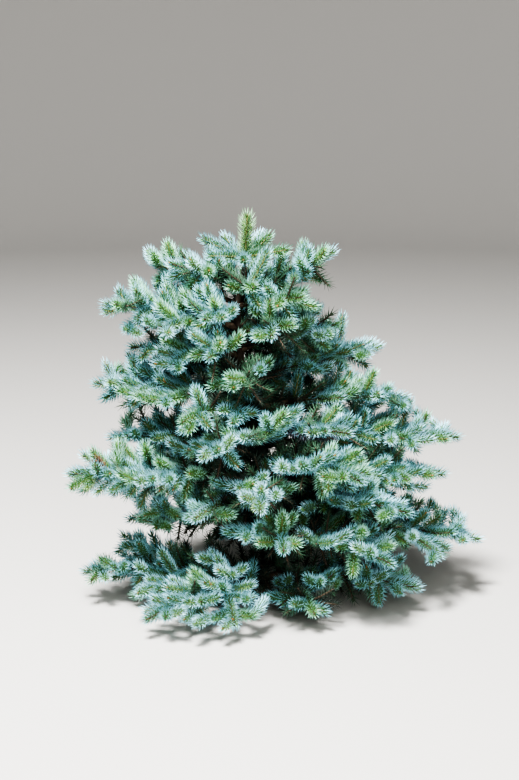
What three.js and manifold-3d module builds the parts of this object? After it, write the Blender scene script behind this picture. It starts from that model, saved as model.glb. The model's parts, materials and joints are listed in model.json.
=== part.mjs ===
// A dwarf blue spruce that grows in the ground: a leaning trunk, tiers of boughs, and flat sprays of
// needled shoots that end each limb. Millimetres and degrees, +Z up. The origin is the centre of the flat
// cut at ground level, the front of the plant faces -Y, and a heading of 0 is +X and 90 is +Y.

import * as THREE from "three";
import { mergeVertices } from "three/addons/utils/BufferGeometryUtils.js";
import Module from "manifold-3d";

const wasm = await Module();
wasm.setup();

// Driving dimensions

const jointGap = 0.3; // between a limb and what it grows from

const trunk = {
  foot: [0, 0, 0],
  lowerHandle: [-14, 3, 130], // of the cubic curve that gives the lean
  upperHandle: [-84, 8, 290],
  top: [-52, 0, 391],
  footRadius: 11.5,
  topRadius: 2.8,
  taper: 1.1, // 1 is an even taper, more is thinner above
  flare: 6, // how far the root flare stands out at the ground
  flareHeight: 24,
  flareLobes: 5,
  sides: 15,
  rings: 10,
  balls: 60, // that stand for it where shoots look for room
  ringCrowding: 1.35, // 1 is evenly spaced, more is closer together near the ground
};

const bough = {
  reachFrom: 195, // a limb that reaches this far carries its foliage on a bare bough
  bareShare: 0.24, // of the limb's length
  rootRadius: 2.5,
  radiusPerReach: 0.007,
  tipRadius: 2.2,
  sides: 5,
  rings: 3,
};

const shoot = {
  needleReach: 15.5, // from the stem's axis to the needle tips
  core: 4.6, // half the thickness of stem and needle roots together
  stem: 2.2, // radius of a bare stem at its foot
  stemGrowth: 0.6, // how much thicker it is at its next ring, where its needles begin
  corners: 6, // of a ring on a limb's own stem, every other one a needle
  ringStep: 14, // between two rings of needles
  sideCorners: 4, // the same on a side shoot
  sideStep: 13,
  sweep: 0.5, // how far a needle leans forward, against its reach
  tip: 9, // from the last ring to the bud
  endShare: 0.75, // how long the first and last needles are, against the others
  room: 1.08, // the room a ring takes, against its needles' reach
  bareRings: 2, // rings without needles at the foot of a stem
  leastReach: 8, // with less room than this a ring stays bare
};

const branching = {
  firstRing: 1, // the first ring with needles that has a side shoot
  cycle: 3, // of this many rings, all but the last have a side shoot
  angle: [46, 60], // from the stem
  jitter: [0.85, 1.12],
  lift: [-0.28, 0.46], // how far the end of a side shoot rises or sinks, against its length
  upperChance: 0.15, // how often a ring has another shoot on top
  upperLength: 0.5, // how long that one is, against a side shoot
  shortest: 38,
  longest: 92,
  tries: [1, 0.75, 0.5], // a shoot without room is tried again this much shorter
  sisterGap: 26, // between the axes of two shoots of one mass
  freeRings: 2, // rings at a shoot's foot that may be close to its sisters
};

const clearance = 1.1; // between two masses, or a mass and a limb
const lineStep = 4; // between the points that stand for a limb's line

// Each limb: its height on the trunk, its heading, how far it reaches and how high its tip is, how much it
// arches, and how wide its spray is, as the share of the stem still to come that a side shoot reaches.
const limbs = {
  ground_left: { height: 24, heading: 181, reach: 244, tip: 34, arch: 0.04, width: 0.62 },
  ground_front_left: { height: 32, heading: 219, reach: 206, tip: 22, arch: 0.05, width: 0.7 },
  ground_front: { height: 24, heading: 284, reach: 122, tip: 24, arch: 0.04, width: 0.6 },
  ground_right: { height: 30, heading: 342, reach: 165, tip: 30, arch: 0.04, width: 0.55 },
  ground_back: { height: 28, heading: 97, reach: 200, tip: 34, arch: 0.05, width: 0.9 },

  skirt_right: { height: 72, heading: 6, reach: 244, tip: 62, arch: 0.06, width: 0.7 },
  skirt_front_right: { height: 84, heading: 318, reach: 172, tip: 80, arch: 0.05, width: 0.6 },
  skirt_front: { height: 94, heading: 273, reach: 142, tip: 104, arch: 0.05, width: 0.7 },
  skirt_left: { height: 88, heading: 165, reach: 190, tip: 80, arch: 0.04, width: 0.7 },
  skirt_back_left: { height: 82, heading: 122, reach: 205, tip: 76, arch: 0.05, width: 0.7 },
  skirt_back_right: { height: 78, heading: 52, reach: 225, tip: 72, arch: 0.05, width: 0.85 },

  low_left: { height: 146, heading: 192, reach: 232, tip: 164, arch: 0.02, width: 0.72 },
  low_front_left: { height: 132, heading: 228, reach: 130, tip: 124, arch: 0.05, width: 0.55 },
  low_front: { height: 148, heading: 268, reach: 150, tip: 150, arch: 0.06, width: 0.6 },
  low_front_right: { height: 166, heading: 312, reach: 168, tip: 176, arch: 0.05, width: 0.75 },
  low_side_right: { height: 122, heading: 334, reach: 178, tip: 126, arch: 0.05, width: 0.6 },
  low_right: { height: 142, heading: 358, reach: 212, tip: 152, arch: 0.04, width: 0.6 },
  low_back_right: { height: 151, heading: 45, reach: 218, tip: 150, arch: 0.05, width: 0.8 },
  low_back_left: { height: 138, heading: 135, reach: 218, tip: 148, arch: 0.05, width: 0.85 },

  middle_left: { height: 186, heading: 176, reach: 178, tip: 190, arch: 0.04, width: 0.65 },
  middle_front_left: { height: 192, heading: 245, reach: 142, tip: 203, arch: 0.05, width: 0.85 },
  middle_front_right: { height: 202, heading: 333, reach: 128, tip: 212, arch: 0.04, width: 0.6 },
  middle_right: { height: 182, heading: 8, reach: 244, tip: 184, arch: 0.05, width: 0.62 },
  middle_back: { height: 194, heading: 88, reach: 196, tip: 200, arch: 0.05, width: 0.95 },

  upper_left: { height: 244, heading: 185, reach: 178, tip: 260, arch: 0.02, width: 0.65 },
  upper_front_left: { height: 234, heading: 238, reach: 138, tip: 238, arch: 0.05, width: 0.9 },
  upper_front: { height: 272, heading: 276, reach: 104, tip: 272, arch: 0.04, width: 0.6 },
  upper_right: { height: 226, heading: 14, reach: 198, tip: 228, arch: 0.05, width: 0.6 },
  upper_back_right: { height: 258, heading: 34, reach: 194, tip: 284, arch: 0.02, width: 0.7 },
  upper_back: { height: 236, heading: 78, reach: 168, tip: 240, arch: 0.04, width: 0.8 },
  upper_back_left: { height: 250, heading: 128, reach: 172, tip: 262, arch: 0.04, width: 0.9 },

  shoulder_left: { height: 290, heading: 184, reach: 130, tip: 300, arch: 0.03, width: 0.7 },
  shoulder_front: { height: 304, heading: 250, reach: 98, tip: 302, arch: 0.05, width: 0.7 },
  shoulder_front_right: { height: 316, heading: 316, reach: 92, tip: 336, arch: 0.02, width: 0.6 },
  shoulder_right: { height: 296, heading: 20, reach: 128, tip: 318, arch: 0.02, width: 0.8 },
  shoulder_back: { height: 303, heading: 78, reach: 138, tip: 314, arch: 0.02, width: 0.85 },
  shoulder_back_left: { height: 308, heading: 132, reach: 132, tip: 322, arch: 0.02, width: 0.85 },

  crown_left: { height: 322, heading: 183, reach: 156, tip: 350, arch: 0.02, width: 0.7 },
  crown_back_left: { height: 348, heading: 152, reach: 124, tip: 396, arch: -0.02, width: 0.8 },
  crown_upper_left: { height: 376, heading: 198, reach: 88, tip: 400, arch: -0.02, width: 0.7 },
  crown_front_left: { height: 338, heading: 246, reach: 92, tip: 344, arch: 0.04, width: 0.8 },
  crown_front: { height: 364, heading: 286, reach: 66, tip: 376, arch: 0.04, width: 0.8 },
  crown_front_right: { height: 346, heading: 322, reach: 98, tip: 366, arch: 0.02, width: 0.8 },
  crown_right: { height: 358, heading: 5, reach: 114, tip: 411, arch: -0.02, width: 0.7 },
  crown_back: { height: 343, heading: 70, reach: 112, tip: 372, arch: 0.02, width: 0.9 },
};

// The leader and the ring of shoots round its foot: heading, slope and length of each.
const leader = {
  length: 64,
  lean: 3, // towards +X
  ringStep: 9,
  needleReach: 10.5,
  whorlHeight: 7,
  whorlStagger: 3, // every other shoot starts this much higher
  whorlNeedleReach: 11.5,
  whorl: [
    { heading: 176, slope: 26, length: 60 },
    { heading: 212, slope: 6, length: 52 },
    { heading: 268, slope: 8, length: 40 },
    { heading: 336, slope: 12, length: 60 },
    { heading: 24, slope: 40, length: 48 },
    { heading: 66, slope: 24, length: 58 },
    { heading: 128, slope: 30, length: 52 },
  ],
};

const colours = { bark: 0x6b5344, boughBark: 0x76593f, needles: 0x86aaa6 };

// Numbers and vectors

const seedModulus = 2147483647;
const seedFactor = 48271;

// The Lehmer generator: whole numbers only, so the same seed gives the same plant everywhere.
function dice(seed) {
  let state = (seed % (seedModulus - 1)) + 1;
  return (low = 0, high = 1) => {
    state = (state * seedFactor) % seedModulus;
    return low + ((high - low) * state) / seedModulus;
  };
}

const radians = THREE.MathUtils.degToRad;
const vector = (x, y, z) => new THREE.Vector3(x, y, z);
const up = vector(0, 0, 1);

function direction(heading, slope = 0) {
  const flat = Math.cos(radians(slope));
  return vector(
    flat * Math.cos(radians(heading)),
    flat * Math.sin(radians(heading)),
    Math.sin(radians(slope)),
  );
}

// The heading of a line of points at one of them.
function headingAt(points, i) {
  const next = points[Math.min(i + 1, points.length - 1)];
  return next.clone().sub(points[Math.max(i - 1, 0)]).normalize();
}

// Points a given step apart along a curve, from one share of it to another, both ends included.
function stations(curve, from, to, step) {
  const count = Math.max(2, Math.round(((to - from) * curve.getLength()) / step));
  return Array.from({ length: count + 1 }, (_, i) => curve.getPoint(from + ((to - from) * i) / count));
}

// Solids

function solidOf(geometry) {
  geometry.deleteAttribute("normal");
  geometry.deleteAttribute("uv");
  const merged = mergeVertices(geometry, 1e-4);
  return new wasm.Manifold(
    new wasm.Mesh({
      numProp: 3,
      vertProperties: new Float32Array(merged.attributes.position.array),
      triVerts: new Uint32Array(merged.index.array),
    }),
  );
}

function geometryOf(solid) {
  const mesh = solid.getMesh();
  const geometry = new THREE.BufferGeometry();
  geometry.setAttribute("position", new THREE.BufferAttribute(mesh.vertProperties, 3));
  geometry.setIndex(new THREE.BufferAttribute(mesh.triVerts, 1));
  geometry.computeVertexNormals();
  return geometry;
}

// The largest closed body, with loose scraps dropped and sealed hollows filled.
function wholeBody(solid) {
  return solid.decompose().reduce((a, b) => (b.volume() > a.volume() ? b : a));
}

// A tapering limb: a cylinder bent along the points, with a radius for each.
function limbSolid(points, radii, sides) {
  const last = points.length - 1;
  const geometry = new THREE.CylinderGeometry(1, 1, 1, sides, last);
  const position = geometry.attributes.position;
  for (let i = 0; i < position.count; i++) {
    const ring = Math.round((position.getY(i) + 0.5) * last);
    const along = headingAt(points, ring);
    const side = up.clone().cross(along).normalize();
    const over = along.clone().cross(side);
    const place = points[ring]
      .clone()
      .addScaledVector(side, position.getX(i) * radii[ring])
      .addScaledVector(over, -position.getZ(i) * radii[ring]);
    position.setXYZ(i, place.x, place.y, place.z);
  }
  return solidOf(geometry);
}

// A shoot with its needles. Every other corner of a ring is a needle's tip and the rest are down on the core,
// and the next ring is turned by one corner, so each needle is a four-sided spike of its own.
function needledSolid(twig) {
  const { points, reaches, corners, normal, bald } = twig;
  const last = points.length - 1;
  const position = [];
  points.forEach((point, ring) => {
    const along = headingAt(points, ring);
    const side = normal.clone().cross(along).normalize();
    const over = along.clone().cross(side);
    for (let corner = 0; corner < corners; corner++) {
      const angle = radians((corner * 360) / corners);
      const isTurn = (ring + corner) % 2 === 0;
      const isNeedle = isTurn && reaches[ring] > 0 && !bald.has(ring * corners + corner);
      const out = isNeedle ? reaches[ring] : coreOf(twig, ring);
      const place = point
        .clone()
        .addScaledVector(side, Math.cos(angle) * out)
        .addScaledVector(over, Math.sin(angle) * out)
        .addScaledVector(along, isNeedle ? shoot.sweep * out : 0);
      position.push(...place.toArray());
    }
  });
  const end = points[last].clone().sub(points[last - 1]).normalize();
  position.push(...points[last].clone().addScaledVector(end, shoot.tip).toArray());
  const at = (ring, corner) => ring * corners + (corner % corners);
  const faces = [];
  for (let ring = 0; ring < last; ring++) {
    for (let corner = 0; corner < corners; corner++) {
      const [a, b] = [at(ring, corner), at(ring, corner + 1)];
      const [c, d] = [at(ring + 1, corner + 1), at(ring + 1, corner)];
      if ((ring + corner) % 2 === 0) faces.push(a, b, d, b, c, d);
      else faces.push(a, b, c, a, c, d);
    }
  }
  for (let corner = 1; corner < corners - 1; corner++) {
    faces.push(at(0, 0), at(0, corner + 1), at(0, corner));
  }
  const bud = corners * points.length;
  for (let corner = 0; corner < corners; corner++) faces.push(at(last, corner), at(last, corner + 1), bud);
  const geometry = new THREE.BufferGeometry();
  geometry.setAttribute("position", new THREE.Float32BufferAttribute(position, 3));
  geometry.setIndex(faces);
  return solidOf(geometry);
}

// The trunk

const trunkAxis = new THREE.CubicBezierCurve3(
  vector(...trunk.foot),
  vector(...trunk.lowerHandle),
  vector(...trunk.upperHandle),
  vector(...trunk.top),
);

// The share of the trunk's curve at which it is a given height above the ground.
function trunkShare(height) {
  let [low, high] = [0, 1];
  for (let i = 0; i < 40; i++) {
    const middle = (low + high) / 2;
    if (trunkAxis.getPoint(middle).z < height) low = middle;
    else high = middle;
  }
  return low;
}

function trunkRadius(share, angle) {
  const height = trunkAxis.getPoint(share).z;
  const taper = trunk.topRadius + (trunk.footRadius - trunk.topRadius) * (1 - share) ** trunk.taper;
  const lobe = 0.65 + 0.35 * Math.cos(trunk.flareLobes * angle);
  return taper + trunk.flare * lobe * Math.exp(-height / trunk.flareHeight);
}

// Level rings, closer together in the flare, so that the foot is one flat cut at the ground.
function trunkSolid(extra = 0) {
  const geometry = new THREE.CylinderGeometry(1, 1, 1, trunk.sides, trunk.rings);
  const position = geometry.attributes.position;
  for (let i = 0; i < position.count; i++) {
    const share = (0.5 + position.getY(i)) ** trunk.ringCrowding;
    const [x, y] = [position.getX(i), -position.getZ(i)];
    const isRim = Math.hypot(x, y) > 0.5;
    const radius = isRim ? trunkRadius(share, Math.atan2(y, x)) + extra : 0;
    const centre = trunkAxis.getPoint(share);
    position.setXYZ(i, centre.x + x * radius, centre.y + y * radius, centre.z);
  }
  return solidOf(geometry);
}

// The limbs' own lines

function limbCurve(limb) {
  const root = trunkAxis.getPoint(trunkShare(limb.height));
  const out = direction(limb.heading).multiplyScalar(limb.reach);
  const tip = root.clone().add(out).setZ(limb.tip);
  const handle = root.clone().lerp(tip, 0.5).addScaledVector(up, 2 * limb.arch * limb.reach);
  return new THREE.QuadraticBezierCurve3(root, handle, tip);
}

function limbRadius(limb, share) {
  const root = bough.rootRadius + limb.reach * bough.radiusPerReach;
  return bough.tipRadius + (root - bough.tipRadius) * Math.max(0, 1 - share / bough.bareShare);
}

// Room for each mass: a ball at every ring of every limb and twig, each with its owner.

const taken = [];

function isInTrunk(point) {
  const share = trunkShare(point.z);
  const centre = trunkAxis.getPoint(share);
  return point.distanceTo(centre) < trunkRadius(share, 0);
}

function claim(owner, points, radii, twig) {
  points.forEach((point, i) => {
    if (owner === "trunk" || !isInTrunk(point)) taken.push({ owner, twig, point, radius: radii[i] });
  });
}

function isFree(owner, points, radii, parent) {
  return points.every((point, i) => {
    if (point.z - radii[i] < clearance) return false;
    return taken.every((ball) => {
      const far = point.distanceTo(ball.point);
      if (ball.owner !== owner) return far > radii[i] + ball.radius + clearance;
      const isFoot = i < branching.freeRings;
      return isFoot || far > (ball.twig === parent ? shoot.needleReach : branching.sisterGap);
    });
  });
}

// Twigs

// The rings of a twig along some points: bare at its foot, full needles, and a shorter tuft at its tip.
function makeTwig(owner, points, corners, normal, needleReach, bareRings = shoot.bareRings) {
  const last = points.length - 1;
  const reaches = points.map((_, i) => {
    if (i < bareRings) return 0;
    return i === last || i === bareRings ? shoot.endShare * needleReach : needleReach;
  });
  return { owner, points, corners, normal, reaches, bareRings, bald: new Set() };
}

const coreOf = (twig, i) => (i < twig.bareRings ? shoot.stem + shoot.stemGrowth * i : shoot.core);
const roomOf = (twig) => twig.reaches.map((reach, i) => Math.max(shoot.room * reach, coreOf(twig, i)));

// Needles on two limbs that pass close to each other are shorter, so that both keep to their own side.
function shorten(twig, lines) {
  twig.reaches = twig.reaches.map((wanted, i) => {
    let reach = wanted;
    for (const line of lines.filter(({ owner }) => owner !== twig.owner)) {
      for (const point of line.points) {
        const left = twig.points[i].distanceTo(point) - clearance;
        reach = Math.min(reach, (line.isBare ? left - line.radius : left / 2) / shoot.room);
      }
    }
    return reach < shoot.leastReach ? 0 : reach;
  });
}

// A side shoot, or none where it has no room even at its shortest.
function sideShoot(parent, foot, heading, wanted, lift) {
  for (const share of branching.tries) {
    const long = Math.max(branching.shortest, wanted * share);
    const end = foot.clone().addScaledVector(heading, long - shoot.tip);
    const handle = foot.clone().lerp(end, 0.5);
    end.addScaledVector(parent.normal, lift * share * long);
    const points = stations(new THREE.QuadraticBezierCurve3(foot, handle, end), 0, 1, shoot.sideStep);
    const twig = makeTwig(parent.owner, points, shoot.sideCorners, parent.normal, shoot.needleReach);
    if (isFree(parent.owner, points, roomOf(twig), parent)) return twig;
  }
  return null;
}

// Side shoots to the left and right in turn, and now and then one on top. A side shoot leaves a ring at the
// corner that has no needle, and the needle ahead of it is left out.
function branch(parent, width, seed) {
  const twigs = [parent];
  const { points, normal } = parent;
  const last = points.length - 1;
  const step = points[0].distanceTo(points[1]);
  const first = parent.bareRings + branching.firstRing;
  for (let ring = first; ring < last - 1; ring++) {
    const ahead = headingAt(points, ring);
    const left = (last - ring) * step + shoot.tip;
    for (const isUpper of [false, true]) {
      const roll = dice((seed * 31 + ring * 7 + (isUpper ? 14 : 11)) % seedModulus);
      roll();
      const angle = radians(roll(...branching.angle));
      const size = roll(...branching.jitter) * (isUpper ? branching.upperLength : 1);
      const lift = roll(...branching.lift);
      const isNode = (ring - first) % branching.cycle < branching.cycle - 1;
      if (isUpper ? roll() > branching.upperChance : !isNode) continue;
      const turn = ring % 2 ? 1 : -1;
      const across = isUpper ? normal : normal.clone().cross(ahead).multiplyScalar(turn);
      const heading = ahead.clone().multiplyScalar(Math.cos(angle));
      heading.addScaledVector(across, Math.sin(angle));
      const wanted = Math.min(branching.longest, left * width * size);
      const twig = sideShoot(parent, points[ring], heading, wanted, lift);
      if (!twig) continue;
      twigs.push(twig);
      claim(parent.owner, twig.points, roomOf(twig), twig);
      const cornerAhead = turn > 0 ? 0 : parent.corners / 2;
      if (!isUpper) parent.bald.add((ring + 1) * parent.corners + cornerAhead);
    }
  }
  return twigs;
}

// The plant

const plant = new THREE.Group();
plant.name = "blue_spruce";

const barkMaterial = new THREE.MeshStandardMaterial({ color: colours.bark, roughness: 0.95, metalness: 0 });
const boughMaterial = new THREE.MeshStandardMaterial({
  color: colours.boughBark,
  roughness: 0.9,
  metalness: 0,
});
const needleMaterial = new THREE.MeshStandardMaterial({
  color: colours.needles,
  roughness: 0.7,
  metalness: 0,
});

function addNode(name, solid, material) {
  const mesh = new THREE.Mesh(geometryOf(wholeBody(solid)), material);
  mesh.name = name;
  plant.add(mesh);
}

addNode("trunk", trunkSolid(), barkMaterial);
const trunkWithGap = trunkSolid(jointGap);
for (let i = 0; i <= trunk.balls; i++) {
  const share = i / trunk.balls;
  claim("trunk", [trunkAxis.getPoint(share)], [trunkRadius(share, 0)], null);
}

// The line of every limb first, so that each has its own way out before any of them fills.
const lines = [];
const masses = Object.entries(limbs).map(([name, limb], number) => {
  const curve = limbCurve(limb);
  const length = curve.getLength();
  const hasBough = limb.reach >= bough.reachFrom;
  if (hasBough) {
    const points = stations(curve, 0, bough.bareShare, (bough.bareShare * length) / bough.rings);
    const radii = points.map((_, i) => limbRadius(limb, (bough.bareShare * i) / bough.rings));
    addNode("bough_" + name, limbSolid(points, radii, bough.sides).subtract(trunkWithGap), boughMaterial);
    const line = stations(curve, 0, bough.bareShare, lineStep).filter((point) => !isInTrunk(point));
    const radius = limbRadius(limb, 0);
    claim("bough_" + name, line, line.map(() => radius), null);
    lines.push({ owner: name, points: line, isBare: true, radius });
  }
  const from = hasBough ? bough.bareShare + jointGap / length : 0;
  const to = 1 - shoot.tip / length;
  const ahead = curve.getTangent((1 + from) / 2);
  const normal = ahead.clone().cross(up.clone().cross(ahead)).normalize();
  const points = stations(curve, from, to, shoot.ringStep);
  const bareRings = hasBough ? 1 : shoot.bareRings;
  const stem = makeTwig(name, points, shoot.corners, normal, shoot.needleReach, bareRings);
  const line = stations(curve, from, 1, lineStep).filter((point) => !isInTrunk(point));
  lines.push({ owner: name, points: line });
  return { name, limb, hasBough, stem, seed: number * 131 + 17 };
});

// The leader's mass stands on the trunk's top, with a ring of shoots round its foot.
const leaderFoot = trunkAxis.getPoint(1).addScaledVector(up, jointGap);
const leaderTip = leaderFoot.clone().add(vector(leader.lean, 0, leader.length - shoot.tip));
const leaderPoints = stations(new THREE.LineCurve3(leaderFoot, leaderTip), 0, 1, leader.ringStep);
const front = vector(0, -1, 0);
const leaderTwigs = [makeTwig("leader", leaderPoints, shoot.corners, front, leader.needleReach, 1)];
leader.whorl.forEach(({ heading, slope, length }, i) => {
  const height = leader.whorlHeight + (i % 2) * leader.whorlStagger;
  const foot = leaderFoot.clone().addScaledVector(up, height);
  const end = foot.clone().addScaledVector(direction(heading, slope), length - shoot.tip);
  const points = stations(new THREE.LineCurve3(foot, end), 0, 1, shoot.sideStep);
  const normal = direction(heading, slope + 90);
  leaderTwigs.push(makeTwig("leader", points, shoot.sideCorners, normal, leader.whorlNeedleReach, 1));
});
leaderTwigs.forEach(({ points }) => lines.push({ owner: "leader", points }));

// Then the room that each stem has, and the side shoots in what is left.
for (const twig of [...masses.map(({ stem }) => stem), ...leaderTwigs]) {
  shorten(twig, lines);
  claim(twig.owner, twig.points, roomOf(twig), twig);
}
addNode("foliage_leader", wasm.Manifold.union(leaderTwigs.map(needledSolid)), needleMaterial);
for (const { name, limb, hasBough, stem, seed } of masses) {
  const fused = wasm.Manifold.union(branch(stem, limb.width, seed).map(needledSolid));
  addNode("foliage_" + name, hasBough ? fused : fused.subtract(trunkWithGap), needleMaterial);
}

export default plant;
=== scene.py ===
import json
import math
import bpy
import numpy as np
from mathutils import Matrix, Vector, noise

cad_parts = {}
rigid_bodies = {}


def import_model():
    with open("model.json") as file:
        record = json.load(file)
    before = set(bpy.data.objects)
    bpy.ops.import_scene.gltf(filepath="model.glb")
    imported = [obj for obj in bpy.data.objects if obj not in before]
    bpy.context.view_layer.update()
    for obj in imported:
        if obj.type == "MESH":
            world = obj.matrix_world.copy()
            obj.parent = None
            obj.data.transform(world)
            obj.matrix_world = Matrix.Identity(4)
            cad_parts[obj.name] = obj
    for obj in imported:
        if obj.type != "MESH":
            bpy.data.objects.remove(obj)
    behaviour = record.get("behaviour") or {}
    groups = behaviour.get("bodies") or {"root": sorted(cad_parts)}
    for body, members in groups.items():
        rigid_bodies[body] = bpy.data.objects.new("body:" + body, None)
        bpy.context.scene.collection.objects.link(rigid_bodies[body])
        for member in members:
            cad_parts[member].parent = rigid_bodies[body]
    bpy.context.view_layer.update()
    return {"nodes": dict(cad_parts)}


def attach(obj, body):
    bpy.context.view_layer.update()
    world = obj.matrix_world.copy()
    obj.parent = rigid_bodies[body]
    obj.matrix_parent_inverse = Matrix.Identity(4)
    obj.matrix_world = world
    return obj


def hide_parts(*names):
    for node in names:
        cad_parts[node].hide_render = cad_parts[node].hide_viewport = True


for startObject in list(bpy.data.objects):
    bpy.data.objects.remove(startObject)
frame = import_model()
print("frame loaded:", len(frame["nodes"]), "nodes")

# The plant grows in millimetres and is turned into metres when its meshes are made.
# Front of the plant is -Y, up is +Z, and a heading of 0 is +X and 90 is +Y.
mm = 0.001
up = np.array([0.0, 0.0, 1.0])

# Trunk and limbs, with the same values as the solids
trunk = {
    "foot": (0, 0, 0),
    "lowerHandle": (-14, 3, 130),  # of the cubic curve that gives the lean
    "upperHandle": (-84, 8, 290),
    "top": (-52, 0, 391),
    "footRadius": 11.5,
    "topRadius": 2.8,
    "taper": 1.1,
    "flare": 6,
    "flareHeight": 24,
    "flareLobes": 5,
    "lobeDepth": 0.35,
    "balls": 60,
}

bough = {"reachFrom": 195, "bareShare": 0.24, "rootRadius": 2.5, "radiusPerReach": 0.007, "tipRadius": 2.2}

shoot = {
    "needleReach": 15.5,
    "core": 4.6,
    "stem": 2.2,
    "stemGrowth": 0.6,
    "ringStep": 14,
    "sideStep": 13,
    "tip": 9,
    "endShare": 0.75,
    "room": 1.08,
    "bareRings": 2,
    "leastReach": 8,
}

branching = {
    "firstRing": 1,
    "cycle": 3,
    "angle": (46, 60),
    "jitter": (0.85, 1.12),
    "lift": (-0.28, 0.46),
    "upperChance": 0.15,
    "upperLength": 0.5,
    "shortest": 38,
    "longest": 92,
    "tries": (1, 0.75, 0.5),
    "sisterGap": 26,
    "freeRings": 2,
}

clearance = 1.1
lineStep = 4
jointGap = 0.3  # between a stem and the limb or trunk that carries it
tinyStep = 1e-4  # along a curve, to find its heading

# height on the trunk, heading, reach, height of the tip, arch, width of the spray
limbs = {
    "ground_left": (24, 181, 244, 34, 0.04, 0.62),
    "ground_front_left": (32, 219, 206, 22, 0.05, 0.7),
    "ground_front": (24, 284, 122, 24, 0.04, 0.6),
    "ground_right": (30, 342, 165, 30, 0.04, 0.55),
    "ground_back": (28, 97, 200, 34, 0.05, 0.9),
    "skirt_right": (72, 6, 244, 62, 0.06, 0.7),
    "skirt_front_right": (84, 318, 172, 80, 0.05, 0.6),
    "skirt_front": (94, 273, 142, 104, 0.05, 0.7),
    "skirt_left": (88, 165, 190, 80, 0.04, 0.7),
    "skirt_back_left": (82, 122, 205, 76, 0.05, 0.7),
    "skirt_back_right": (78, 52, 225, 72, 0.05, 0.85),
    "low_left": (146, 192, 232, 164, 0.02, 0.72),
    "low_front_left": (132, 228, 130, 124, 0.05, 0.55),
    "low_front": (148, 268, 150, 150, 0.06, 0.6),
    "low_front_right": (166, 312, 168, 176, 0.05, 0.75),
    "low_side_right": (122, 334, 178, 126, 0.05, 0.6),
    "low_right": (142, 358, 212, 152, 0.04, 0.6),
    "low_back_right": (151, 45, 218, 150, 0.05, 0.8),
    "low_back_left": (138, 135, 218, 148, 0.05, 0.85),
    "middle_left": (186, 176, 178, 190, 0.04, 0.65),
    "middle_front_left": (192, 245, 142, 203, 0.05, 0.85),
    "middle_front_right": (202, 333, 128, 212, 0.04, 0.6),
    "middle_right": (182, 8, 244, 184, 0.05, 0.62),
    "middle_back": (194, 88, 196, 200, 0.05, 0.95),
    "upper_left": (244, 185, 178, 260, 0.02, 0.65),
    "upper_front_left": (234, 238, 138, 238, 0.05, 0.9),
    "upper_front": (272, 276, 104, 272, 0.04, 0.6),
    "upper_right": (226, 14, 198, 228, 0.05, 0.6),
    "upper_back_right": (258, 34, 194, 284, 0.02, 0.7),
    "upper_back": (236, 78, 168, 240, 0.04, 0.8),
    "upper_back_left": (250, 128, 172, 262, 0.04, 0.9),
    "shoulder_left": (290, 184, 130, 300, 0.03, 0.7),
    "shoulder_front": (304, 250, 98, 302, 0.05, 0.7),
    "shoulder_front_right": (316, 316, 92, 336, 0.02, 0.6),
    "shoulder_right": (296, 20, 128, 318, 0.02, 0.8),
    "shoulder_back": (303, 78, 138, 314, 0.02, 0.85),
    "shoulder_back_left": (308, 132, 132, 322, 0.02, 0.85),
    "crown_left": (322, 183, 156, 350, 0.02, 0.7),
    "crown_back_left": (348, 152, 124, 396, -0.02, 0.8),
    "crown_upper_left": (376, 198, 88, 400, -0.02, 0.7),
    "crown_front_left": (338, 246, 92, 344, 0.04, 0.8),
    "crown_front": (364, 286, 66, 376, 0.04, 0.8),
    "crown_front_right": (346, 322, 98, 366, 0.02, 0.8),
    "crown_right": (358, 5, 114, 411, -0.02, 0.7),
    "crown_back": (343, 70, 112, 372, 0.02, 0.9),
}

leader = {
    "length": 64,
    "lean": 3,
    "ringStep": 9,
    "needleReach": 10.5,
    "whorlHeight": 7,
    "whorlStagger": 3,
    "whorlNeedleReach": 11.5,
    # heading, slope and length of each shoot round the leader's foot
    "whorl": ((176, 26, 60), (212, 6, 52), (268, 8, 40), (336, 12, 60),
              (24, 40, 48), (66, 24, 58), (128, 30, 52)),
}


def dice(seed):
    # whole numbers only, so the same seed gives the same plant everywhere
    state = seed % 2147483646 + 1

    def roll(low=0.0, high=1.0):
        nonlocal state
        state = state * 48271 % 2147483647
        return low + (high - low) * state / 2147483647

    return roll


def unit(v):
    return v / np.linalg.norm(v, axis=-1, keepdims=True)


def direction(heading, slope=0.0):
    h, s = math.radians(heading), math.radians(slope)
    return np.array([math.cos(s) * math.cos(h), math.cos(s) * math.sin(h), math.sin(s)])


def turned(way, towards, angle):
    return way * math.cos(angle) + towards * math.sin(angle)


def bezier(controls, shares):
    # quadratic with 3 controls, cubic with 4
    points = [np.outer(np.ones(len(shares)), c) for c in controls]
    t = np.asarray(shares, float)[:, None]
    while len(points) > 1:
        points = [a + (b - a) * t for a, b in zip(points, points[1:])]
    return points[0]


def lengthOf(controls):
    line = bezier(controls, np.linspace(0, 1, 201))
    return np.linalg.norm(np.diff(line, axis=0), axis=1).sum()


def lengthAlong(line):
    steps = np.linalg.norm(np.diff(line, axis=0), axis=1)
    return np.concatenate([[0], np.cumsum(steps)])


def stations(controls, start, end, step):
    count = max(2, math.floor((end - start) * lengthOf(controls) / step + 0.5))
    return bezier(controls, [start + (end - start) * i / count for i in range(count + 1)])


def headingAt(points, i):
    return unit(points[min(i + 1, len(points) - 1)] - points[max(i - 1, 0)])


trunkControls = [np.array(trunk[k], float) for k in ("foot", "lowerHandle", "upperHandle", "top")]


def trunkAt(share):
    return bezier(trunkControls, [share])[0]


def trunkShare(height):
    low, high = 0.0, 1.0
    for _ in range(40):
        middle = (low + high) / 2
        z = (3 * middle * (1 - middle) ** 2 * trunk["lowerHandle"][2]
             + 3 * middle ** 2 * (1 - middle) * trunk["upperHandle"][2] + middle ** 3 * trunk["top"][2])
        low, high = (middle, high) if z < height else (low, middle)
    return low


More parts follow.
